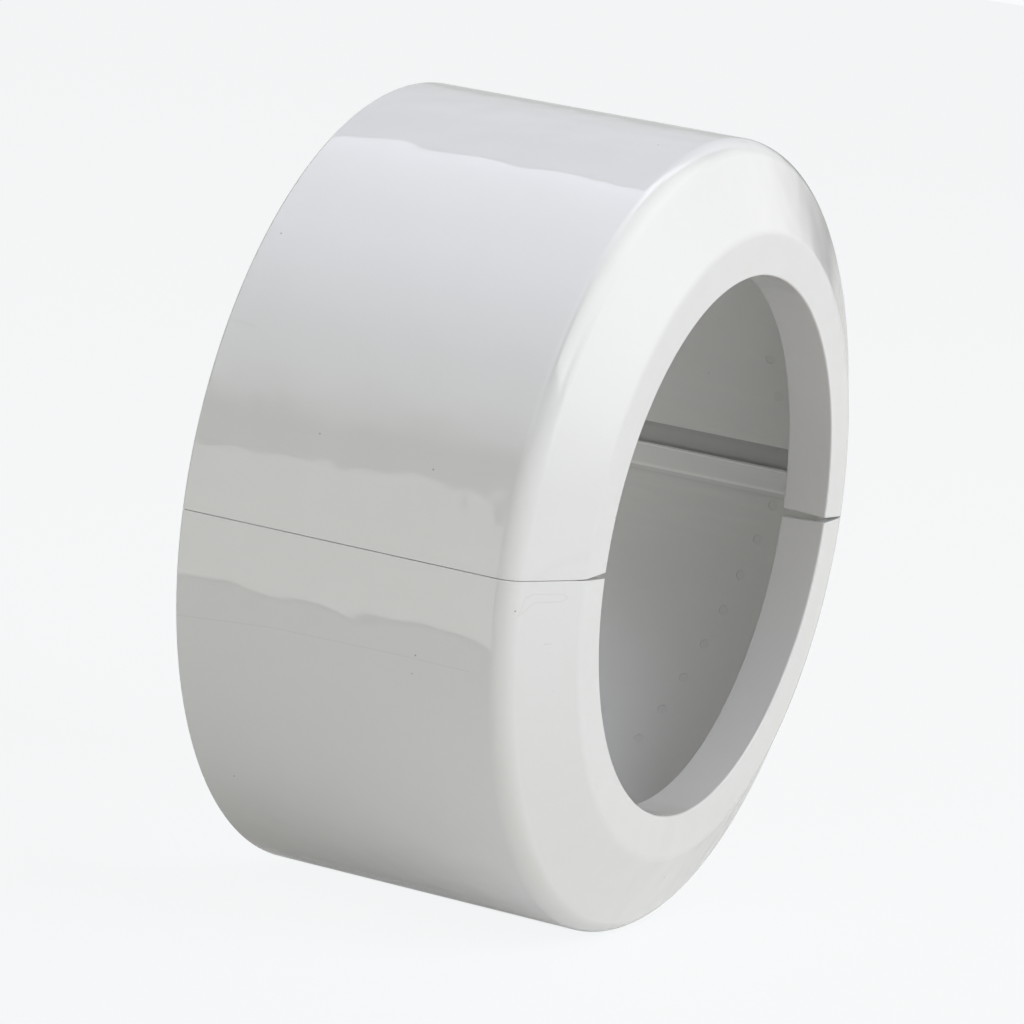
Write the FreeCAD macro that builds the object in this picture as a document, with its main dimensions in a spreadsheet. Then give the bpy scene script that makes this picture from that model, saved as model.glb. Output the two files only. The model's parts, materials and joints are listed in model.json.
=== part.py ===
import FreeCAD, Part
import math
import os
import Sketcher

# Split pipe escutcheon: two moulded half shells that close round a waste pipe at a wall.
# The bore runs along Y. The rim against the wall lies on y = 0 and the front face looks along -Y.
# The halves part on the plane z = 0, and each is the other one turned half a turn about the bore.

# Driving sizes in millimetres and degrees
SIZES = {
    "outer_radius": 82.5,
    "depth": 80.0,
    "side_wall": 2.8,
    "front_wall": 2.6,
    "bore_radius": 56.0,
    "face_radius": 65.0,
    "cone_angle": 24.0,
    "collar_depth": 10.0,
    "collar_wall": 2.2,
    "corner_round": 5.0,
    "face_round": 4.0,
    "parting_gap": 0.2,
    "tongue_height": 5.0,
    "tongue_wall": 1.6,
    "tongue_root": 2.1,
    "tongue_lead": 0.5,
    "tongue_inset": 1.0,
    "lap_clearance": 0.3,
    "lap_stop": 14.0,
    "rebate_skin": 1.4,
    "rebate_height": 9.8,
    "rebate_slope": 4.5,
    "relief_radius": 68.0,
    "relief_at_bore": 0.6,
    "relief_at_collar": 1.0,
    "cut_margin": 5.0,
}

# Sizes that follow from the driving ones, written as expressions of the sheet
INNER_RADIUS = "Sizes.outer_radius - Sizes.side_wall"
REBATE_RADIUS = "Sizes.outer_radius - Sizes.rebate_skin"
TONGUE_OUTER = REBATE_RADIUS + " - Sizes.lap_clearance"
TONGUE_INNER = TONGUE_OUTER + " - Sizes.tongue_wall"
CONE_FALL = "tan(Sizes.cone_angle)"
FRONT_STEP = "Sizes.front_wall / cos(Sizes.cone_angle)"
RELIEF_SLOPE = "Sizes.relief_at_bore / (Sizes.relief_radius - Sizes.bore_radius)"
RELIEF_GROWTH = "(Sizes.relief_at_collar - Sizes.relief_at_bore) / Sizes.collar_depth"


def make_sheet(doc):
    """The spreadsheet that holds every driving size under its own alias."""
    sheet = doc.addObject("Spreadsheet::Sheet", "Sizes")
    for row, (alias, value) in enumerate(SIZES.items(), start=1):
        sheet.set("A%d" % row, alias)
        sheet.set("B%d" % row, str(value))
        sheet.setAlias("B%d" % row, alias)
    doc.recompute()


def new_sketch(body, name, role, height="0"):
    """A sketch on one of the body's origin planes, raised by an expression."""
    sketch = body.newObject("Sketcher::SketchObject", name)
    plane = next(one for one in body.Origin.OriginFeatures if one.Role == role)
    sketch.AttachmentSupport = [(plane, "")]
    sketch.MapMode = "FlatFace"
    sketch.setExpression("AttachmentOffset.Base.z", height)
    return sketch


def bind(sketch, text, *parts):
    """Add a constraint whose value is an expression of the sheet."""
    index = sketch.addConstraint(Sketcher.Constraint(*parts))
    sketch.setExpression("Constraints[%d]" % index, text)


def draw_polygon(sketch, corners):
    """A closed outline of straight edges, each corner held at two expressions."""
    count = len(corners)
    start = [FreeCAD.Vector(10 + math.cos(math.tau * turn / count), math.sin(math.tau * turn / count), 0)
             for turn in range(count)]
    for first in range(count):
        sketch.addGeometry(Part.LineSegment(start[first], start[(first + 1) % count]), False)
    for first in range(count):
        sketch.addConstraint(Sketcher.Constraint("Coincident", first, 2, (first + 1) % count, 1))
    for edge, (across, up) in enumerate(corners):
        bind(sketch, across, "DistanceX", -1, 1, edge, 1, start[edge].x)
        bind(sketch, up, "DistanceY", -1, 1, edge, 1, start[edge].y)


def draw_arc(sketch, radius, low, high, side):
    """An arc about the bore between two heights, on the side where x is positive or negative."""
    angles = [math.asin(height / radius) for height in (low, high)]
    if side < 0:
        angles = [math.pi - angle for angle in reversed(angles)]
    circle = Part.Circle(FreeCAD.Vector(0, 0, 0), FreeCAD.Vector(0, 0, 1), radius)
    arc = sketch.addGeometry(Part.ArcOfCircle(circle, angles[0], angles[1]), False)
    sketch.addConstraint(Sketcher.Constraint("Coincident", arc, 3, -1, 1))
    return arc


def corner_of(sketch, edge, end):
    """Where one end of an edge lies now."""
    return sketch.getPoint(edge, end)


def join_line(sketch, first, second):
    """A straight edge between two ends of other edges."""
    line = sketch.addGeometry(Part.LineSegment(corner_of(sketch, *first), corner_of(sketch, *second)), False)
    sketch.addConstraint(Sketcher.Constraint("Coincident", line, 1, *first))
    sketch.addConstraint(Sketcher.Constraint("Coincident", line, 2, *second))
    return line


def round_corner(sketch, edge, radius, text):
    """Round the corner where an edge starts. The sharp corner stays as the arc's reference."""
    sketch.fillet(edge, 1, radius, True, True)
    arc = sketch.GeometryCount - 2
    bind(sketch, text, "Radius", arc, radius)


def add_ring(body):
    """The whole ring before it is split: rim, side wall, cone, flat face and collar."""
    fall_outer = "(Sizes.outer_radius - Sizes.face_radius) * " + CONE_FALL
    fall_inner = "(%s - Sizes.face_radius) * %s" % (INNER_RADIUS, CONE_FALL)
    cone_start = "Sizes.face_radius + (Sizes.front_wall - %s) / %s" % (FRONT_STEP, CONE_FALL)
    collar_radius = "Sizes.bore_radius + Sizes.collar_wall"
    corners = [
        ("Sizes.outer_radius", "0"),
        ("Sizes.outer_radius", "%s - Sizes.depth" % fall_outer),
        ("Sizes.face_radius", "-Sizes.depth"),
        ("Sizes.bore_radius", "-Sizes.depth"),
        ("Sizes.bore_radius", "Sizes.collar_depth - Sizes.depth"),
        (collar_radius, "Sizes.collar_depth - Sizes.depth"),
        (collar_radius, "Sizes.front_wall - Sizes.depth"),
        (cone_start, "Sizes.front_wall - Sizes.depth"),
        (INNER_RADIUS, "%s + %s - Sizes.depth" % (fall_inner, FRONT_STEP)),
        (INNER_RADIUS, "0"),
    ]
    section = new_sketch(body, "Section", "XY_Plane")
    draw_polygon(section, corners)
    body.Document.recompute()
    round_corner(section, 1, SIZES["corner_round"], "Sizes.corner_round")
    round_corner(section, 2, SIZES["face_round"], "Sizes.face_round")
    inside_round = SIZES["corner_round"] - SIZES["side_wall"]
    round_corner(section, 8, inside_round, "Sizes.corner_round - Sizes.side_wall")
    ring = body.newObject("PartDesign::Revolution", "Ring")
    ring.Profile = section
    ring.ReferenceAxis = (section, ["V_Axis"])
    ring.Angle = 360
    body.Document.recompute()


def split_ring(body):
    """Take away what lies above the parting plane, less half of the parting gap."""
    reach = "Sizes.outer_radius + Sizes.cut_margin"
    front = "-Sizes.depth - Sizes.cut_margin"
    sketch = new_sketch(body, "PartingPlane", "XY_Plane", "-Sizes.parting_gap / 2")
    corners = [("-(%s)" % reach, front), (reach, front),
               (reach, "Sizes.cut_margin"), ("-(%s)" % reach, "Sizes.cut_margin")]
    draw_polygon(sketch, corners)
    cut = body.newObject("PartDesign::Pocket", "Parting")
    cut.Profile = sketch
    cut.Type = "ThroughAll"
    cut.Reversed = True
    body.Document.recompute()


def add_rebate(body):
    """The thinned inside of one parting edge, which takes the other half's tongue and slopes out of the wall."""
    radius = SIZES["outer_radius"] - SIZES["rebate_skin"]
    low = -SIZES["rebate_height"]
    full = low + SIZES["rebate_slope"]
    high = SIZES["cut_margin"]
    sketch = new_sketch(body, "RebateSection", "XZ_Plane")
    arc = draw_arc(sketch, radius, full, high, -1)
    inside = FreeCAD.Vector(SIZES["cut_margin"] - radius, high, 0)
    top = sketch.addGeometry(Part.LineSegment(corner_of(sketch, arc, 1), inside), False)
    back = sketch.addGeometry(Part.LineSegment(inside, FreeCAD.Vector(inside.x, low, 0)), False)
    sketch.addConstraint(Sketcher.Constraint("Coincident", top, 1, arc, 1))
    sketch.addConstraint(Sketcher.Constraint("Coincident", top, 2, back, 1))
    foot = FreeCAD.Vector(SIZES["side_wall"] - SIZES["outer_radius"], low, 0)
    slope = sketch.addGeometry(Part.LineSegment(corner_of(sketch, arc, 2), foot), False)
    sketch.addConstraint(Sketcher.Constraint("Coincident", slope, 1, arc, 2))
    bottom = join_line(sketch, (back, 2), (slope, 2))
    sketch.addConstraint(Sketcher.Constraint("Horizontal", top))
    sketch.addConstraint(Sketcher.Constraint("Vertical", back))
    sketch.addConstraint(Sketcher.Constraint("Horizontal", bottom))
    bind(sketch, REBATE_RADIUS, "Radius", arc, radius)
    bind(sketch, "Sizes.cut_margin", "DistanceY", -1, 1, arc, 1, high)
    bind(sketch, "Sizes.rebate_slope - Sizes.rebate_height", "DistanceY", -1, 1, arc, 2, full)
    bind(sketch, "-Sizes.rebate_height", "DistanceY", -1, 1, slope, 2, low)
    bind(sketch, "-(%s)" % INNER_RADIUS, "DistanceX", -1, 1, slope, 2, foot.x)
    bind(sketch, "Sizes.cut_margin - (%s)" % REBATE_RADIUS, "DistanceX", -1, 1, back, 1, inside.x)
    cut = body.newObject("PartDesign::Pocket", "Rebate")
    cut.Profile = sketch
    cut.setExpression("Length", "Sizes.depth - Sizes.lap_stop")
    cut.Reversed = True
    body.Document.recompute()


def add_tongue(body):
    """The thin strip inside the other parting edge, with a sloped root and a lead at its tip."""
    outer = SIZES["outer_radius"] - SIZES["rebate_skin"] - SIZES["lap_clearance"]
    inner = outer - SIZES["tongue_wall"]
    root = -SIZES["tongue_root"]
    tip = SIZES["tongue_height"]
    lead = SIZES["tongue_lead"]
    sketch = new_sketch(body, "TongueSection", "XZ_Plane", "Sizes.tongue_inset")
    back = draw_arc(sketch, outer, root, tip - lead, 1)
    face = draw_arc(sketch, inner, 0, tip, 1)
    shoulder = corner_of(sketch, back, 2) + FreeCAD.Vector(-lead, lead, 0)
    slope = sketch.addGeometry(Part.LineSegment(corner_of(sketch, back, 2), shoulder), False)
    sketch.addConstraint(Sketcher.Constraint("Coincident", slope, 1, back, 2))
    crest = join_line(sketch, (slope, 2), (face, 2))
    foot = FreeCAD.Vector(SIZES["outer_radius"] - SIZES["side_wall"], root, 0)
    heel = sketch.addGeometry(Part.LineSegment(corner_of(sketch, face, 1), foot), False)
    sketch.addConstraint(Sketcher.Constraint("Coincident", heel, 1, face, 1))
    base = join_line(sketch, (heel, 2), (back, 1))
    sketch.addConstraint(Sketcher.Constraint("Horizontal", crest))
    sketch.addConstraint(Sketcher.Constraint("Horizontal", base))
    bind(sketch, TONGUE_OUTER, "Radius", back, outer)
    bind(sketch, TONGUE_INNER, "Radius", face, inner)
    bind(sketch, "-Sizes.tongue_root", "DistanceY", -1, 1, back, 1, root)
    bind(sketch, "Sizes.tongue_height - Sizes.tongue_lead", "DistanceY", -1, 1, back, 2, tip - lead)
    bind(sketch, "Sizes.tongue_height", "DistanceY", -1, 1, slope, 2, tip)
    bind(sketch, "-Sizes.tongue_lead", "DistanceX", slope, 1, slope, 2, -lead)
    bind(sketch, "0", "DistanceY", -1, 1, face, 1, 0)
    bind(sketch, INNER_RADIUS, "DistanceX", -1, 1, heel, 2, foot.x)
    pad = body.newObject("PartDesign::Pad", "Tongue")
    pad.Profile = sketch
    pad.setExpression("Length", "Sizes.depth - Sizes.lap_stop - 2 * Sizes.tongue_inset")
    body.Document.recompute()


def relief_sketch(body, name, distance):
    """Section of the relief at a distance from the wall: a thin wedge under the parting plane."""
    start = "Sizes.bore_radius - Sizes.cut_margin"
    back = "(Sizes.depth - (%s)) * %s" % (distance, RELIEF_GROWTH)
    drop = "(Sizes.relief_radius - (%s)) * %s + %s" % (start, RELIEF_SLOPE, back)
    reach = "Sizes.relief_radius + %s / (%s)" % (back, RELIEF_SLOPE)
    sketch = new_sketch(body, name, "XZ_Plane", distance)
    draw_polygon(sketch, [(start, "0"), (reach, "0"), (start, "-(%s)" % drop)])
    return sketch


def add_relief(body):
    """Parting faces that fall away from each other towards the bore and the collar's inner end."""
    front = relief_sketch(body, "ReliefFront", "Sizes.depth + Sizes.cut_margin")
    rear = relief_sketch(body, "ReliefRear", "Sizes.depth - Sizes.collar_depth - Sizes.cut_margin")
    wedge = body.newObject("PartDesign::SubtractiveLoft", "Relief")
    wedge.Profile = front
    wedge.Sections = [rear]
    wedge.Ruled = True
    body.Document.recompute()
    mirror = body.newObject("PartDesign::Mirrored", "ReliefPair")
    mirror.Originals = [wedge]
    plane = next(one for one in body.Origin.OriginFeatures if one.Role == "YZ_Plane")
    mirror.MirrorPlane = (plane, [""])
    body.Tip = mirror
    body.Document.recompute()


def make_half(doc, label, turn):
    """One half shell, turned about the bore to its place."""
    body = doc.addObject("PartDesign::Body", label)
    body.Label = label
    volumes = []
    for step in (add_ring, split_ring, add_rebate, add_tongue, add_relief):
        step(body)
        volumes.append(body.Shape.Volume)
    ring, split, rebated, tongued, relieved = volumes
    if not (ring / 2 > split > rebated < tongued > relieved):
        raise RuntimeError("%s: a cut or pad went the wrong way: %s" % (label, volumes))
    body.Placement = FreeCAD.Placement(FreeCAD.Vector(0, 0, 0), FreeCAD.Rotation(FreeCAD.Vector(0, 1, 0), turn))
    return body


def check(doc, halves):
    """Stop before anything is written if an object failed or a solid is not sound."""
    for thing in doc.Objects:
        if "Invalid" in thing.State or "Error" in thing.State:
            raise RuntimeError("%s failed: %s" % (thing.Label, thing.State))
    for half in halves:
        if half.Shape.isNull() or not half.Shape.isValid() or len(half.Shape.Solids) != 1:
            raise RuntimeError("%s is not one valid solid" % half.Label)


def main():
    doc = FreeCAD.newDocument("PipeEscutcheon")
    make_sheet(doc)
    halves = [make_half(doc, label, turn) for label, turn in (("lower_half_shell", 0), ("upper_half_shell", 180))]
    doc.recompute()
    check(doc, halves)
    os.makedirs("parts", exist_ok=True)
    for half in halves:
        half.Shape.exportStep("parts/%s.step" % half.Label)
        box = half.Shape.BoundBox
        print(half.Label, round(half.Shape.Volume), "mm3", [round(value, 2) for value in
              (box.XMin, box.XMax, box.YMin, box.YMax, box.ZMin, box.ZMax)])


main()
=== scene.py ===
import json
import math

import bmesh
import bpy
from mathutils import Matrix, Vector

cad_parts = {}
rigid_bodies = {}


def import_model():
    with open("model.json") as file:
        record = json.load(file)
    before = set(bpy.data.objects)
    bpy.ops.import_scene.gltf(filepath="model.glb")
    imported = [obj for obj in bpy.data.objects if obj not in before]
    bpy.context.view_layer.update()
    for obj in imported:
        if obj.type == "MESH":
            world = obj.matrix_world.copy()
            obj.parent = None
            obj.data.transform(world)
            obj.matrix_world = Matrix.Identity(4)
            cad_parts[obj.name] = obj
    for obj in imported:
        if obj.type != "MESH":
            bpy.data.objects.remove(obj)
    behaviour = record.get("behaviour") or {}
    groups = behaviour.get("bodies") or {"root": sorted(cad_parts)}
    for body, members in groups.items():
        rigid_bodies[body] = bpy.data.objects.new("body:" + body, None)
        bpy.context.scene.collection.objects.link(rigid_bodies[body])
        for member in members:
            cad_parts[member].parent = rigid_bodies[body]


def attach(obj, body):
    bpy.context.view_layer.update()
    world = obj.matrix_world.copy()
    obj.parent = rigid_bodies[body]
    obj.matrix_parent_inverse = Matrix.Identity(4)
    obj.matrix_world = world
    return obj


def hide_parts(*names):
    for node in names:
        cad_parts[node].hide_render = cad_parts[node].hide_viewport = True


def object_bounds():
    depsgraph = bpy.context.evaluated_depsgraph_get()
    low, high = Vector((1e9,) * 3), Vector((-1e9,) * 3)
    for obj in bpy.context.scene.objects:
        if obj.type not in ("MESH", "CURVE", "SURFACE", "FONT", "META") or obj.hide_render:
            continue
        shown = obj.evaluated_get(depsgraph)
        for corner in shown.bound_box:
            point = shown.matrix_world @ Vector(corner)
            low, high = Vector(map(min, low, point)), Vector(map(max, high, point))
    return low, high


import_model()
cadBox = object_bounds()
mm = 0.001
touching = 0.001 * mm  # corners this close count as one


# Selecting and small jobs in edit mode

def deselectAll():
    for thing in bpy.context.view_layer.objects:
        thing.select_set(False)


def makeActive(thing):
    deselectAll()
    thing.select_set(True)
    bpy.context.view_layer.objects.active = thing


def editMode():
    bpy.ops.object.mode_set(mode="EDIT")
    bpy.ops.mesh.select_all(action="DESELECT")


def applyPlace():
    bpy.ops.object.transform_apply(location=True, rotation=True, scale=True)


def pick(kind, test):
    # Selects the vertices, edges or faces of the mesh in edit mode that pass the test
    bpy.ops.mesh.select_mode(type=kind)
    mesh = bmesh.from_edit_mesh(bpy.context.object.data)
    for part in {"VERT": mesh.verts, "EDGE": mesh.edges, "FACE": mesh.faces}[kind]:
        part.select = test(part)
    if kind == "VERT":
        mesh.select_flush(True)
    bmesh.update_edit_mesh(bpy.context.object.data)


def drawSection(name, corners):
    # One point is drawn out from corner to corner, then the outline is filled.
    deselectAll()
    first = Vector((*corners[0], 0)) * mm
    bpy.ops.mesh.primitive_plane_add(size=1 * mm, location=(0, 0, 0))
    piece = bpy.context.object
    piece.name = name
    editMode()
    bpy.ops.mesh.select_mode(type="VERT")
    bpy.ops.mesh.select_all(action="SELECT")
    bpy.ops.mesh.merge(type="CENTER")
    bpy.ops.transform.translate(value=first)
    for (x0, y0), (x1, y1) in zip(corners, corners[1:]):
        step = (x1 - x0) * mm, (y1 - y0) * mm, 0
        bpy.ops.mesh.extrude_region_move(TRANSFORM_OT_translate={"value": step})
    bpy.ops.mesh.select_all(action="SELECT")
    bpy.ops.mesh.edge_face_add()
    return piece


def spinSection(steps, angle):
    # Turns what is selected about the bore, downwards on the right, by degrees
    bpy.ops.mesh.spin(steps=steps, angle=math.radians(-angle), center=(0, 0, 0), axis=(0, 1, 0))


def mergeDoubles():
    # Merges what a spin left double and turns the faces outwards
    bpy.ops.mesh.select_all(action="SELECT")
    bpy.ops.mesh.remove_doubles(threshold=touching)
    bpy.ops.mesh.normals_make_consistent(inside=False)


def roundCorner(corner, offset, segments):
    here = Vector((*corner, 0)) * mm
    pick("VERT", lambda vert: (vert.co - here).length < touching)
    bpy.ops.mesh.bevel(offset=offset * mm, offset_type="OFFSET", segments=segments,
                       profile=0.5, affect="VERTICES", clamp_overlap=False)


def roundEdges(width, segments):
    bpy.ops.mesh.bevel(offset=width * mm, segments=segments,
                       profile=0.5, affect="EDGES", clamp_overlap=False)


def tangentLength(radius, turn):
    return radius * math.tan(math.radians(turn) / 2)


def cutWith(piece, cutter, operation):
    makeActive(piece)
    cut = piece.modifiers.new("cut", "BOOLEAN")
    cut.object = cutter
    cut.operation = operation
    cut.solver = "EXACT"
    bpy.ops.object.modifier_apply(modifier=cut.name)
    bpy.data.objects.remove(cutter)


# Small jobs with shader nodes: a value is a number, a colour or another node's output

def addNode(tree, kind, values=None, **settings):
    node = tree.nodes.new("ShaderNode" + kind)
    for name, setting in settings.items():
        setattr(node, name, setting)
    for name, value in (values or {}).items():
        if isinstance(value, bpy.types.NodeSocket):
            tree.links.new(value, node.inputs[name])
        else:
            node.inputs[name].default_value = value
    return node


def addMath(tree, operation, *values):
    return addNode(tree, "Math", dict(enumerate(values)), operation=operation).outputs[0]


def addChain(tree, operation, *values):
    # The operation taken along a row of values, such as the product or the largest of them all
    total = values[0]
    for value in values[1:]:
        total = addMath(tree, operation, total, value)
    return total


def addVector(tree, operation, *values):
    node = addNode(tree, "VectorMath", dict(enumerate(values)), operation=operation)
    return node.outputs["Value" if operation in ("DOT_PRODUCT", "DISTANCE", "LENGTH") else "Vector"]


def addRange(tree, value, low, high, start=0.0, end=1.0):
    values = {"Value": value, "From Min": low, "From Max": high, "To Min": start, "To Max": end}
    return addNode(tree, "MapRange", values).outputs["Result"]


def addParts(tree, vector):
    return addNode(tree, "SeparateXYZ", {"Vector": vector}).outputs


def opaque(colour):
    return (*colour, 1)


def inRadians(turn):
    return [math.radians(angle) for angle in turn]


# Camera: near side and a little above, looking at the bore from the left

camera = {
    "place": (-1.01447, -0.49420, 0.18616), "turn": (80.325, -7.781, -64.223),
    "lens": 192.02, "clipEnd": 50,
}


def placeCamera():
    data = bpy.data.cameras.new("camera")
    data.lens = camera["lens"]
    data.clip_end = camera["clipEnd"]
    thing = bpy.data.objects.new("camera", data)
    thing.location = camera["place"]
    thing.rotation_euler = inRadians(camera["turn"])
    bpy.context.scene.collection.objects.link(thing)
    bpy.context.scene.camera = thing


placeCamera()
print("camera placed")


# Light: panels that only show in the gloss, lamps that only light the surface, and dark cards that only
# show in the gloss too. A panel fades along its length, by pairs of place and level.

panels = {
    "overhead": {
        "place": (-0.565, 0.40, 0.90), "turn": (0, -14.8, 0), "size": (2.35, 1.10),
        "power": 38.7, "colour": (0.95, 0.955, 1.09), "softSides": 0.2,
        "fade": ((0.0, 0.0), (0.20, 0.40), (0.43, 0.66), (0.62, 0.98),
                 (0.73, 0.98), (0.86, 0.9), (1.0, 0.82)),
    },
    "rightPanel": {
        "place": (0.906, 0.42, 0.743), "turn": (0, 51, 0), "size": (1.10, 1.20),
        "power": 12.8, "colour": (0.91, 0.955, 1.13),
        "fade": ((0.0, 0.72), (0.25, 0.50), (0.6, 0.25), (1.0, 0.06)),
    },
    "topPanel": {
        "place": (0.028, -0.521, 1.039), "turn": (25, 0, 21.5), "size": (2.00, 1.45),
        "power": 32.2, "colour": (1.0, 1.0, 1.0), "softSides": 0.2,
        "fade": ((0.0, 1.0), (0.4, 1.0), (0.67, 0.8), (0.96, 0.3), (1.0, 0.1)),
    },
    "frontPanel": {
        "place": (0.964, -0.956, 0.580), "turn": (78, 0, 33), "size": (2.47, 1.25),
        "power": 21.1, "colour": (1.0, 0.99, 1.0), "softSides": 0.25,
        "fade": ((0.0, 0.8), (0.215, 0.9), (0.385, 0.9), (0.5, 0.62),
                 (0.615, 0.40), (0.77, 0.33), (0.88, 0.2), (1.0, 0.0)),
    },
    "lowPanel": {
        "place": (-0.583, 0.219, 0.053), "turn": (-169.3, -17.3, 153.9), "size": (0.99, 0.13),
        "power": 0.58, "colour": (1.0, 1.0, 0.97),
        "fade": ((0.0, 1.0), (1.0, 1.0)), "slantedEnds": ((0.005, 0.080), (0.992, -0.197)),
    },
}
lamps = {
    "topRight": {
        "place": (0.90, -0.30, 1.00), "turn": (14, 41, 0), "size": (0.90, 0.80),
        "power": 3.3, "colour": (1.13, 1.04, 0.83),
    },
    "front": {
        "place": (0.0, -0.80, 0.62), "turn": (52, 0, 0), "size": (0.70, 0.50),
        "power": 4.7, "colour": (0.91, 0.98, 1.10),
    },
    "frontLow": {
        "place": (-0.10, -1.50, 0.08), "turn": (88, 0, -4), "size": (1.40, 0.30),
        "power": 4.4, "colour": (1.09, 1.01, 0.90),
    },
    "left": {
        "place": (-1.40, 0.10, 0.25), "turn": (80, 0, -94), "size": (0.90, 0.50),
        "power": 4.3, "colour": (1.0, 1.01, 1.0),
    },
}
cards = {
    "rightCard": {"place": (0.70, 0.03, 0.082), "turn": (0, 90, 0), "size": (0.14, 0.36)},
    "floorStrip": {"place": (-0.195, 0.031, -0.0815), "turn": (0, 0, 7), "size": (0.012, 0.14)},
}
studio = {
    "worldLight": (0.185, 0.18, 0.17),
    "background": (0.955, 0.972, 0.980), "inGloss": 0.6,
    "floorColour": (0.86, 0.86, 0.85), "floorWhite": 0.92, "floorSize": 6.0,
    "floorInGloss": (0.3, 0.55), "floorReach": (0.25, 0.9),
    "cardColour": (0.02, 0.02, 0.02), "cardEdge": 0.25,
}


def addLamp(name, values, inGloss):
    data = bpy.data.lights.new(name, "AREA")
    data.shape = "RECTANGLE"
    data.size, data.size_y = values["size"]
    data.energy = values["power"]
    data.color = values["colour"]
    lamp = bpy.data.objects.new(name, data)
    lamp.location = values["place"]
    lamp.rotation_euler = inRadians(values["turn"])
    lamp.visible_camera = False
    lamp.visible_glossy, lamp.visible_diffuse = inGloss, not inGloss
    bpy.context.scene.collection.objects.link(lamp)
    return data


def fadePanel(data, values):
    # The panel fades along its length. Its long sides can be soft, and its two ends slanted.
    data.use_nodes = True
    tree = data.node_tree
    place = addParts(tree, addNode(tree, "NewGeometry").outputs["Parametric"])
    along, across = place["X"], place["Y"]
    fade = addNode(tree, "ValToRGB", {"Fac": along})
    ramp = fade.color_ramp
    ramp.interpolation = "CARDINAL"
    stops = values["fade"]
    for element, (_, level) in zip(ramp.elements, (stops[0], stops[-1])):
        element.color = opaque([level] * 3)
    for at, level in stops[1:-1]:
        ramp.elements.new(at).color = opaque([level] * 3)
    strength = fade.outputs["Color"]
    if "softSides" in values:
        side = addRange(tree, addMath(tree, "PINGPONG", across, 0.5), 0, values["softSides"])
        strength = addMath(tree, "MULTIPLY", strength, side)
    if "slantedEnds" in values:
        for (at, slant), inside in zip(values["slantedEnds"], ("GREATER_THAN", "LESS_THAN")):
            end = addMath(tree, "MULTIPLY_ADD", across, slant, at)
            strength = addMath(tree, "MULTIPLY", strength, addMath(tree, inside, along, end))
    tree.links.new(strength, tree.nodes["Emission"].inputs["Strength"])


def seenDirectly(tree, inGloss):
    # 1 for rays from the camera and through glass, less in gloss, 0 for the light that falls on things
    path = addNode(tree, "LightPath").outputs
    gloss = addMath(tree, "MULTIPLY", path["Is Glossy Ray"], inGloss)
    return addChain(tree, "MAXIMUM", path["Is Transmission Ray"], path["Is Camera Ray"], gloss)


def mixShaders(tree, share, first, second):
    return addNode(tree, "MixShader", {0: share, 1: first.outputs[0], 2: second.outputs[0]}).outputs[0]


def makeWorld():
    world = bpy.data.worlds.new("studio")
    bpy.context.scene.world = world
    world.use_nodes = True
    tree = world.node_tree
    tree.nodes.clear()
    light = addNode(tree, "Background", {"Color": opaque(studio["worldLight"])})
    white = addNode(tree, "Background", {"Color": opaque(studio["background"])})
    mixed = mixShaders(tree, seenDirectly(tree, studio["inGloss"]), light, white)
    addNode(tree, "OutputWorld", {"Surface": mixed})


def makeFloor():
    deselectAll()
    bpy.ops.mesh.primitive_plane_add(size=studio["floorSize"], location=(0, 0, cadBox[0][2]))
    floor = bpy.context.object
    floor.name = "floor"
    paint = bpy.data.materials.new("floor_paint")
    paint.use_nodes = True
    tree = paint.node_tree
    tree.nodes.clear()
    matt = addNode(tree, "BsdfDiffuse", {"Color": opaque(studio["floorColour"])})
    glow = addNode(tree, "Emission", {"Color": opaque(studio["background"])})
    # Painted shade: the floor shows darker in the gloss near the piece than farther off, as in the piece's
    # shadow.
    distance = addVector(tree, "LENGTH", addNode(tree, "TexCoord").outputs["Object"])
    inGloss = addRange(tree, distance, *studio["floorReach"], *studio["floorInGloss"])
    share = addMath(tree, "MULTIPLY", seenDirectly(tree, inGloss), studio["floorWhite"])
    addNode(tree, "OutputMaterial", {"Surface": mixShaders(tree, share, matt, glow)})
    floor.data.materials.append(paint)


def paintCards():
    # Black in the middle, clearing towards the edges
    black = bpy.data.materials.new("card_black")
    black.use_nodes = True
    tree = black.node_tree
    shader = tree.nodes["Principled BSDF"]
    shader.inputs["Base Color"].default_value = opaque(studio["cardColour"])
    spread = addParts(tree, addNode(tree, "TexCoord").outputs["UV"])
    sides = [addMath(tree, "PINGPONG", spread[name], 0.5) for name in ("X", "Y")]
    cover = addRange(tree, addChain(tree, "MINIMUM", *sides), 0, studio["cardEdge"])
    tree.links.new(cover, shader.inputs["Alpha"])
    return black


def makeCards():
    black = paintCards()
    for name, values in cards.items():
        deselectAll()
        turn = inRadians(values["turn"])
        bpy.ops.mesh.primitive_plane_add(size=1, location=values["place"], rotation=turn)
        card = bpy.context.object
        card.name = name
        card.scale = (*values["size"], 1)
        applyPlace()
        card.visible_camera = card.visible_diffuse = card.visible_transmission = card.visible_shadow = False
        card.data.materials.append(black)


for name, values in panels.items():
    fadePanel(addLamp(name, values, inGloss=True), values)
for name, values in lamps.items():
    addLamp(name, values, inGloss=False)
makeWorld()
makeFloor()
makeCards()
bpy.context.scene.view_settings.view_transform = "Standard"
print("studio lit")


# Sizes of the half shell and of its lap joint, in millimetres and degrees, as in the source but for a
# thinner parting gap and small rounded edges. The gap is this half's share, and the relief falls by its
# slopes across and along the front wall. Only vertices of the parting faces lie within capDepth of the
# parting plane.

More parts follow.
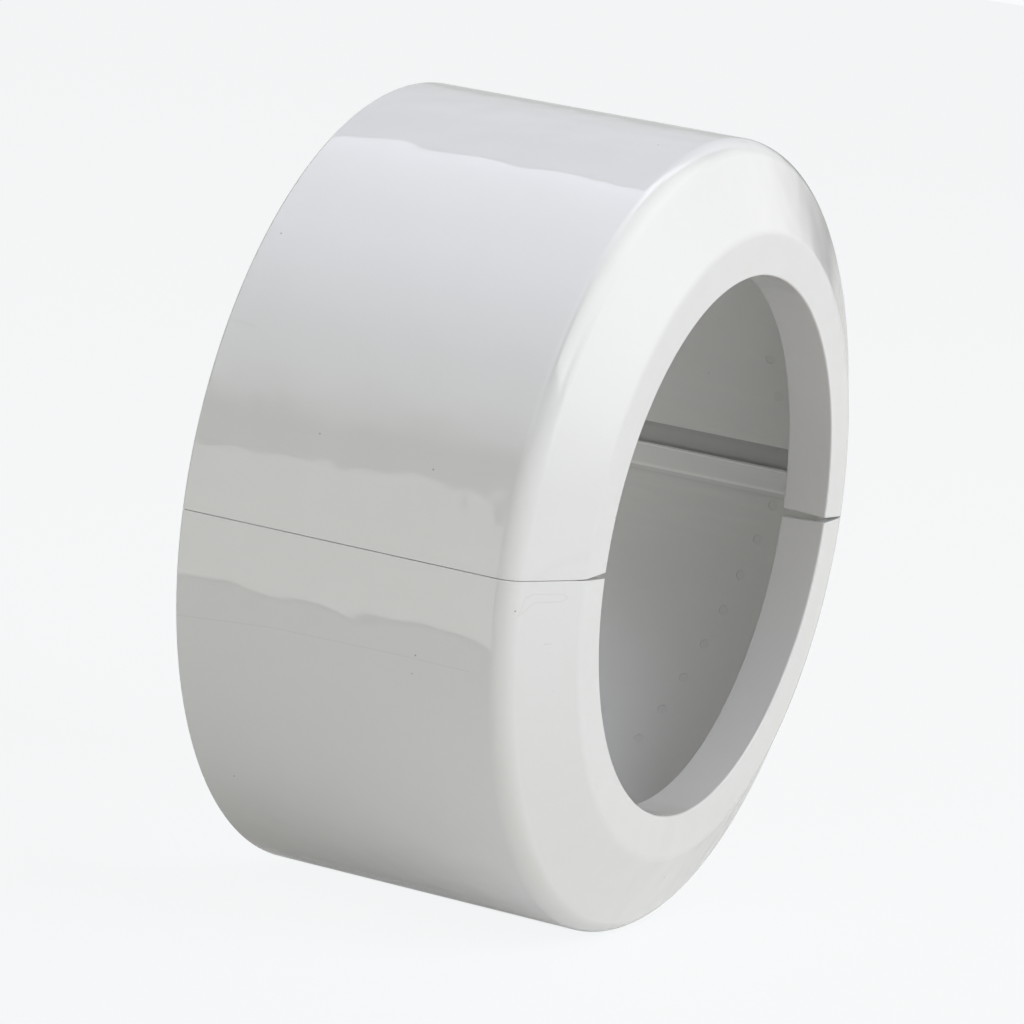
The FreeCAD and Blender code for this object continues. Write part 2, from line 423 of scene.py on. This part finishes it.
half = {
    "outer": 82.5, "bore": 56, "face": 65, "depth": 80, "coneAngle": 24,
    "sideWall": 2.8, "frontWall": 2.6, "collarWall": 2.2, "collarDepth": 10,
    "cornerRound": 5, "faceRound": 4, "edgeRound": 0.4, "partingRound": 0.1,
    "gap": 0.055, "capDepth": 2,
    "reliefAt": 68, "reliefAcross": 0.05, "reliefAlong": 0.04,
    "steps": 144, "endStep": 2.5, "smoothAngle": 40,
}
innerWall = half["outer"] - half["sideWall"]
front = -half["depth"]
collarEnd = front + half["collarDepth"]

lap = {
    "skin": 1.4, "clearance": 0.3, "stop": 14, "inset": 1, "lead": 0.5,
    "tongueWall": 1.6, "tongueTop": 5, "tongueRoot": 2.1,
    "tongueSunk": 0.15,  # into the wall, so that the two join
    "rebateHeight": 9.8, "rebateSlope": 4.5,
}
rebateOuter = half["outer"] - lap["skin"]
lapEnd = front + lap["stop"]


# Material: white plastic, polished outside and duller inside, with faint clouds, waves and small marks, and
# with painted shade and painted light inside

plastic = {
    "colour": (0.80, 0.80, 0.785), "shade": (0.775, 0.777, 0.76),
    "cloudScale": 18, "cloudReach": (0.3, 0.7),
    # Painted shade: the inside is darker than the outside, and the bore collar darker still.
    "inside": (0.765, 0.765, 0.75),
    "bore": (0.70, 0.69, 0.68),
    "rubbed": (0.86, 0.86, 0.85), "rubScale": (60, 45, 420), "rubReach": (0.48, 0.68), "rubShare": 0.22,
    "rubHeight": (34 * mm, 8 * mm),
    # Painted light: the tongue's inner face is lighter than the wall around it.
    "tongue": (0.87, 0.87, 0.86),
    # Painted shade in the recess above the tongue, on the tongue's root (rootShare) and in the sunk marks
    # (markShare).
    "recessShade": (0.50, 0.50, 0.49), "rootShare": 0.3, "markShare": 0.12,
    # Painted highlight along the fold at the tongue's foot
    "foldHighlight": (1.0, 1.0, 0.99),
    "speck": (0.42, 0.41, 0.38), "speckScale": 160, "speckSize": 0.042, "speckCore": 0.4, "speckShare": 0.3,
    "ior": 1.5, "polished": (0.035, 0.07), "dull": (0.50, 0.60),
    "hairScale": (9, 520, 9), "hairReach": (0.74, 0.80), "hairDull": 0.10,
    "hairTurn": (0.35, 0.2, 0.5),  # in radians
    "waveScale": 42, "waveDepth": 0.6 * mm,
}

# Where each tone inside begins and is full: painted shade, with painted light on the tongue and a painted
# highlight on its fold.
# The first three go by how a face is turned. The bore's tone ends at boreReach, and the rest go by how far
# a place lies outside the inner wall, both in millimetres.
zones = {
    "inward": (-0.2, -0.6), "backward": (0.2, 0.6), "slanted": (0.08, 0.14), "boreReach": 60,
    "tongue": (-0.1, -0.25), "root": (-0.1, 0.05), "foldHighlight": (-0.38, -0.46),
    "sunk": (0.05, 0.1), "recessShade": (0.35, 0.45),
}

# Wear: fine marks on the near side, each as points, the width it fades over and its strength. A point is
# its degrees above the parting line on the left, its radius and its place along the bore.
wear = {
    "scratch": {
        "points": ((-15.16, 82.49, -0.55), (-13.82, 82.5, -21.04),
                   (-13.49, 82.49, -49.95), (-13.62, 82.49, -65.15)),
        "width": 0.2, "strength": 0.14,
    },
    "scuff": {
        "points": ((-4.94, 79.98, -73.29), (-2.47, 78.67, -73.91), (-1.9, 77.01, -74.64),
                   (-2.19, 70.0, -77.76), (-2.81, 68.86, -78.27), (-3.35, 70.06, -77.73),
                   (-3.17, 76.52, -74.86), (-4.8, 79.63, -73.48)),
        "width": 0.2, "strength": 0.16,
    },
    "nick": {"points": ((-9.89, 73.31, -76.29), (-10.07, 71.79, -76.97)), "width": 0.25, "strength": 0.16},
    "rimRub": {"points": ((26.91, 82.53, -1.0), (26.63, 82.44, -6.0)), "width": 0.7, "strength": 0.06},
    "smear": {
        "points": ((0.07, 77.18, -74.58), (2.38, 73.31, -76.3),
                   (3.2, 69.82, -77.84), (4.27, 65.86, -79.61)),
        "width": 1.6, "strength": 0.04,
    },
}


def onShell(turn, radius, along):
    turn = math.radians(turn)
    return Vector((-radius * math.cos(turn), along, radius * math.sin(turn))) * mm


def wearMask(tree, place):
    # Strongest within a mark's width of the runs between its points
    total = 0.0
    for mark in wear.values():
        points = [onShell(*point) for point in mark["points"]]
        for start, end in zip(points, points[1:]):
            run = end - start
            away = addVector(tree, "SUBTRACT", place["Object"], start)
            share = addRange(tree, addVector(tree, "DOT_PRODUCT", away, run / run.length_squared), 0, 1)
            distance = addVector(tree, "DISTANCE", away, addVector(tree, "MULTIPLY", run, share))
            near = addRange(tree, distance, mark["width"] * mm, 0, 0, mark["strength"])
            total = addMath(tree, "MAXIMUM", total, near)
    return total


def insideMasks(tree, place):
    # The tones inside: painted shade on all that faces the axis or the wall and on the bore, the hollow
    # behind the front, painted light on the tongue, a painted highlight on the fold at its foot, and
    # painted shade in the recess, on the tongue's root and in the sunk marks
    flat = addVector(tree, "MULTIPLY", place["Object"], (1, 0, 1))
    out = addVector(tree, "NORMALIZE", flat)
    around = addVector(tree, "CROSS_PRODUCT", out, (0, 1, 0))
    radius = addVector(tree, "LENGTH", flat)
    tilt = addMath(tree, "ABSOLUTE", addVector(tree, "DOT_PRODUCT", around, place["Normal"]))

    def pastWall(zone, start=0.0, end=1.0):
        low, high = [(innerWall + height) * mm for height in zones[zone]]
        return addRange(tree, radius, low, high, start, end)

    inward = addRange(tree, addVector(tree, "DOT_PRODUCT", out, place["Normal"]), *zones["inward"])
    backward = addRange(tree, addParts(tree, place["Normal"])["Y"], *zones["backward"])
    slanted = addRange(tree, tilt, *zones["slanted"])
    wide = addMath(tree, "GREATER_THAN", radius, zones["boreReach"] * mm)
    # painted light on the tongue's inner face
    tongue = addChain(tree, "MULTIPLY", pastWall("tongue"), inward, wide)
    # painted shade on the tongue's slanted root, in the sunk marks and in the recess above the tongue
    root = addMath(tree, "MULTIPLY", slanted, pastWall("root", plastic["rootShare"], 0))
    paintedShade = addChain(tree, "MAXIMUM", pastWall("sunk", 0, plastic["markShare"]), pastWall("recessShade"), root)
    return {
        # painted shade on all that faces inwards, darker on the bore
        "inside": addMath(tree, "MAXIMUM", inward, backward),
        "hollow": addMath(tree, "MAXIMUM", addMath(tree, "MULTIPLY", inward, wide), backward),
        "bore": addMath(tree, "MULTIPLY", inward, addMath(tree, "SUBTRACT", 1.0, wide)),
        "tongue": tongue,
        # painted highlight along the fold at the tongue's foot
        "foldHighlight": addChain(tree, "MULTIPLY", slanted, pastWall("foldHighlight"), tongue),
        "recessShade": addMath(tree, "MULTIPLY", paintedShade, inward),
    }


def addNoise(tree, vector, scale, detail):
    return addNode(tree, "TexNoise", {"Vector": vector, "Scale": scale, "Detail": detail}).outputs["Fac"]


def addStreaks(tree, place, scale, turn, detail):
    # Noise drawn out by a scale of its own each way
    drawn = addNode(tree, "Mapping", {"Vector": place["Object"], "Scale": scale, "Rotation": turn})
    return addNoise(tree, drawn.outputs["Vector"], 1, detail)


def rubMask(tree, place, hollow):
    # Faint rub marks along the inner wall, near the parting line
    streaks = addStreaks(tree, place, plastic["rubScale"], (0, 0, 0), 2)
    height = addMath(tree, "ABSOLUTE", addParts(tree, place["Object"])["Z"])
    near = addMath(tree, "MULTIPLY", hollow, addRange(tree, height, *plastic["rubHeight"]))
    strength = addRange(tree, streaks, *plastic["rubReach"], 0, plastic["rubShare"])
    return addMath(tree, "MULTIPLY", near, strength)


def speckMask(tree, place):
    # A few cells of the plastic hold a speck of foreign grain.
    cells = addNode(tree, "TexVoronoi", {"Vector": place["Object"], "Scale": plastic["speckScale"]}).outputs
    size = plastic["speckSize"]
    near = addRange(tree, cells["Distance"], size, size * plastic["speckCore"])
    lot = addNode(tree, "SeparateColor", {"Color": cells["Color"]}).outputs["Red"]
    return addMath(tree, "MULTIPLY", near, addMath(tree, "LESS_THAN", lot, plastic["speckShare"]))


def addLayer(tree, mask, under, over):
    return addNode(tree, "Mix", {"Factor": mask, "A": under, "B": over}, data_type="RGBA").outputs["Result"]


def plasticColour(tree, place, cloud, masks):
    # Slow clouds, then the tones inside with their painted shade and light, then specks and wear
    colour = addLayer(tree, cloud, opaque(plastic["colour"]), opaque(plastic["shade"]))
    for name in ("inside", "bore", "rubbed", "tongue", "recessShade", "foldHighlight"):
        colour = addLayer(tree, masks[name], colour, opaque(plastic[name]))
    dark = addMath(tree, "MAXIMUM", speckMask(tree, place), wearMask(tree, place))
    return addLayer(tree, dark, colour, opaque(plastic["speck"]))


def plasticGloss(tree, place, cloud, hollow):
    # Polished outside, dull inside, duller still along hairline scratches
    polished = addRange(tree, cloud, *plastic["cloudReach"], *plastic["polished"])
    dull = addRange(tree, cloud, *plastic["cloudReach"], *plastic["dull"])
    hairs = addStreaks(tree, place, plastic["hairScale"], plastic["hairTurn"], 0)
    hair = addRange(tree, hairs, *plastic["hairReach"], 0, plastic["hairDull"])
    return addMath(tree, "ADD", addRange(tree, hollow, 0, 1, polished, dull), hair)


def plasticWaves(tree, place):
    # The slow waves that bend the mirrored edges
    wave = addNoise(tree, place["Object"], plastic["waveScale"], 2)
    return addNode(tree, "Bump", {"Height": wave, "Distance": plastic["waveDepth"]}).outputs["Normal"]


def makePlastic():
    material = bpy.data.materials.new("white_gloss_plastic")
    material.use_nodes = True
    tree = material.node_tree
    shader = tree.nodes["Principled BSDF"]
    shader.inputs["IOR"].default_value = plastic["ior"]
    place = addNode(tree, "TexCoord").outputs
    cloud = addNoise(tree, place["Object"], plastic["cloudScale"], 4)
    masks = insideMasks(tree, place)
    masks["rubbed"] = rubMask(tree, place, masks["hollow"])
    tree.links.new(plasticColour(tree, place, cloud, masks), shader.inputs["Base Color"])
    tree.links.new(plasticGloss(tree, place, cloud, masks["hollow"]), shader.inputs["Roughness"])
    tree.links.new(plasticWaves(tree, place), shader.inputs["Normal"])
    return material


whitePlastic = makePlastic()
print("plastic mixed")


# Half shell: a section turned half a turn about the bore, with its edges rounded

def turnRing(name):
    cone = math.radians(half["coneAngle"])
    slope = math.tan(cone)
    wallAlong = half["frontWall"] / math.cos(cone)  # the cone's wall, measured along the bore
    frontBack = front + half["frontWall"]
    collarOuter = half["bore"] + half["collarWall"]
    rimOuter, rimInner = (half["outer"], 0), (innerWall, 0)
    sideCorner = (half["outer"], front + (half["outer"] - half["face"]) * slope)
    faceCorner = (half["face"], front)
    boreFront, boreEnd = (half["bore"], front), (half["bore"], collarEnd)
    collarCorner = (collarOuter, collarEnd)
    innerFace = (half["face"] - (wallAlong - half["frontWall"]) / slope, frontBack)
    innerCorner = (innerWall, front + (innerWall - half["face"]) * slope + wallAlong)
    piece = drawSection(name, [rimOuter, sideCorner, faceCorner, boreFront, boreEnd, collarCorner,
                               (collarOuter, frontBack), innerFace, innerCorner, rimInner])
    bend = 90 - half["coneAngle"]
    innerRound = half["cornerRound"] - half["sideWall"]
    roundCorner(sideCorner, tangentLength(half["cornerRound"], bend), 16)
    roundCorner(faceCorner, tangentLength(half["faceRound"], half["coneAngle"]), 6)
    roundCorner(innerCorner, tangentLength(innerRound, bend), 12)
    for corner in (rimOuter, boreFront, boreEnd, collarCorner, rimInner):
        roundCorner(corner, half["edgeRound"], 4)
    bpy.ops.mesh.select_mode(type="FACE")
    bpy.ops.mesh.select_all(action="SELECT")
    spinSection(1, half["endStep"])
    spinSection(half["steps"], 180 - 2 * half["endStep"])
    spinSection(1, half["endStep"])
    mergeDoubles()
    return piece


def looksUp(face):
    return face.normal.z > 0.99


def isCap(face):
    # The flat faces at both ends of the half turn, on the parting plane and its relief
    return looksUp(face) and face.calc_center_median().z > -half["capDepth"] * mm


def openRelief(side):
    # The parting faces of front wall and collar fall away towards the bore, from a slanting crease.
    start = half["reliefAt"] - half["gap"] / half["reliefAcross"]
    slant = half["reliefAlong"] / half["reliefAcross"]
    pivot = (side * start * mm, front * mm, -half["gap"] * mm)
    behindCollar = (collarEnd + 1) * mm

    def inRelief(co):
        crease = start * mm + slant * (co.y - front * mm)
        return co.z > -half["capDepth"] * mm and co.y < behindCollar and 0 < co.x * side < crease - touching

    pick("FACE", lambda face: isCap(face) and face.calc_center_median().x * side > 0)
    bpy.ops.mesh.bisect(plane_co=pivot, plane_no=(1, -side * slant, 0), threshold=touching)
    # The crease is taken out again where it runs on over the side wall.
    pick("EDGE", lambda edge: len(edge.link_faces) == 2 and all(looksUp(face) for face in edge.link_faces)
         and edge.verts[0].co.x * side > 0 and edge.verts[0].co.y > behindCollar)
    bpy.ops.mesh.dissolve_edges(use_verts=True)
    pick("VERT", lambda vert: inRelief(vert.co))
    across, along = math.atan(half["reliefAcross"]), math.atan(half["reliefAlong"])
    bpy.ops.transform.rotate(value=along, orient_axis="X", center_override=pivot)
    bpy.ops.transform.rotate(value=side * across, orient_axis="Y", center_override=pivot)


def turnHalf(name):
    piece = turnRing(name)
    pick("VERT", lambda vert: vert.co.z > -touching)
    bpy.ops.transform.translate(value=(0, 0, -half["gap"] * mm))
    for side in (1, -1):
        openRelief(side)
    pick("EDGE", lambda edge: sum(isCap(face) for face in edge.link_faces) == 1)
    roundEdges(half["partingRound"], 3)
    bpy.ops.mesh.select_all(action="SELECT")
    bpy.ops.mesh.quads_convert_to_tris()  # the cuts below need flat faces
    bpy.ops.object.mode_set(mode="OBJECT")
    return piece


def rebateCutter():
    # What is cut out of the inside of the wall on the left: a round block that slopes out of the wall at
    # its foot. It reaches past the rim and the parting plane, and inwards to a plane inside the wall.
    deselectAll()
    pastRim, pastParting, inside = 6, 4, 70
    facetTurn = 0.6  # keeps the block's facets off those of the wall
    length = pastRim - lapEnd
    bpy.ops.mesh.primitive_cylinder_add(vertices=288, radius=rebateOuter * mm, depth=length * mm,
                                        location=(0, (pastRim + lapEnd) / 2 * mm, 0),
                                        rotation=inRadians((90, facetTurn, 0)))
    block = bpy.context.object
    applyPlace()
    editMode()
    bottom = -lap["rebateHeight"]
    full = bottom + lap["rebateSlope"]
    into = math.sqrt(rebateOuter ** 2 - full ** 2) - innerWall
    sides = (
        ((0, 0, bottom), (0, 0, -1)),
        ((0, 0, pastParting), (0, 0, 1)),
        ((-inside, 0, 0), (1, 0, 0)),
        ((-innerWall, 0, bottom), (-lap["rebateSlope"], 0, -into)),
    )
    for point, away in sides:
        bpy.ops.mesh.select_all(action="SELECT")
        bpy.ops.mesh.bisect(plane_co=Vector(point) * mm, plane_no=away, clear_outer=True, use_fill=True)
    bpy.ops.object.mode_set(mode="OBJECT")
    return block


def turnTongue():
    # The tongue on the right: its section turned up through the parting plane and cut level at the top
    root = innerWall + lap["tongueSunk"]
    below = math.degrees(math.asin(lap["tongueRoot"] / root))
    above = 5  # degrees, well past the tongue's top
    outer = rebateOuter - lap["clearance"]
    inner = outer - lap["tongueWall"]
    start, end = -lap["inset"], lapEnd + lap["inset"]
    piece = drawSection("tongue", [(root, start), (root, end), (outer, end), (outer, start)])
    bpy.ops.mesh.select_all(action="SELECT")
    spinSection(1, below)
    pick("VERT", lambda vert: vert.co.z > -touching and vert.co.x < root * mm + touching)
    bpy.ops.transform.translate(value=((inner - root) * mm, 0, 0))
    pick("FACE", lambda face: face.calc_center_median().z > -touching)
    spinSection(5, -above)
    bpy.ops.mesh.select_all(action="SELECT")
    top = lap["tongueTop"] * mm
    bpy.ops.mesh.bisect(plane_co=(0, 0, top), plane_no=(0, 0, 1), clear_outer=True, use_fill=True)
    mergeDoubles()
    pick("EDGE", lambda edge: all(vert.co.z > top - touching for vert in edge.verts))
    roundEdges(lap["lead"], 3)
    bpy.ops.object.mode_set(mode="OBJECT")
    return piece


# Moulding marks: rows of shallow discs sunk into the inner wall, one under the tongue and one under the
# rebate. Each disc is its degrees below the parting plane and its place along the bore.
marks = {
    "tongueRow": ((2.2, -58.4), (8.0, -56.3), (14.0, -54.2), (20.0, -52.4),
                  (26.0, -50.4), (32.1, -48.4), (38.2, -46.4), (44.2, -44.2)),
    "rebateRow": ((15.4, -57.2), (21.4, -55.0)),
    "radius": 1.1, "sunk": 0.18, "edge": 0.1,
}


def markCutters():
    deselectAll()
    length = 2
    end = (innerWall + marks["sunk"]) * mm
    bpy.ops.mesh.primitive_cylinder_add(vertices=32, radius=marks["radius"] * mm, depth=length * mm,
                                        location=(end - length / 2 * mm, 0, 0),
                                        rotation=inRadians((0, 90, 0)))
    pin = bpy.context.object
    applyPlace()
    editMode()
    pick("EDGE", lambda edge: all(vert.co.x > end - touching for vert in edge.verts))
    roundEdges(marks["edge"], 2)
    bpy.ops.object.mode_set(mode="OBJECT")
    pins = []
    turns = [*marks["tongueRow"], *((180 - turn, along) for turn, along in marks["rebateRow"])]
    for turn, along in turns:
        copy = pin.copy()
        copy.data = pin.data.copy()
        bpy.context.scene.collection.objects.link(copy)
        copy.rotation_euler = inRadians((0, turn, 0))
        copy.location = (0, along * mm, 0)
        pins.append(copy)
    bpy.data.objects.remove(pin)
    makeActive(pins[0])
    for copy in pins:
        copy.select_set(True)
    bpy.ops.object.join()
    applyPlace()
    return bpy.context.object


def smoothShade(piece):
    makeActive(piece)
    bpy.ops.object.shade_smooth_by_angle(angle=math.radians(half["smoothAngle"]))
    even = piece.modifiers.new("even", "WEIGHTED_NORMAL")
    even.keep_sharp = True
    bpy.ops.object.modifier_apply(modifier=even.name)


def report(piece):
    bm = bmesh.new()
    bm.from_mesh(piece.data)
    spare = sum(len(edge.link_faces) != 2 for edge in bm.edges)
    volume = round(bm.calc_volume(signed=True) / mm ** 3)
    print(piece.name, "faces", len(bm.faces), "open edges", spare, "volume mm3", volume)
    bm.free()


lower = turnHalf("lower_half")
report(lower)
cuts = ((rebateCutter, "DIFFERENCE"), (turnTongue, "UNION"), (markCutters, "DIFFERENCE"))
for makeCutter, operation in cuts:
    cutWith(lower, makeCutter(), operation)
    report(lower)
smoothShade(lower)
print("lower half made")

makeActive(lower)
bpy.ops.object.duplicate()
upper = bpy.context.object
upper.name = "upper_half"
upper.rotation_euler = inRadians((0, 180, 0))
applyPlace()
print("upper half made")

halves = ((lower, "lower_half", "lower_half_shell"), (upper, "upper_half", "upper_half_shell"))
for piece, body, node in halves:
    piece.data.materials.clear()
    piece.data.materials.append(whitePlastic)
    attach(piece, body)
    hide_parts(node)
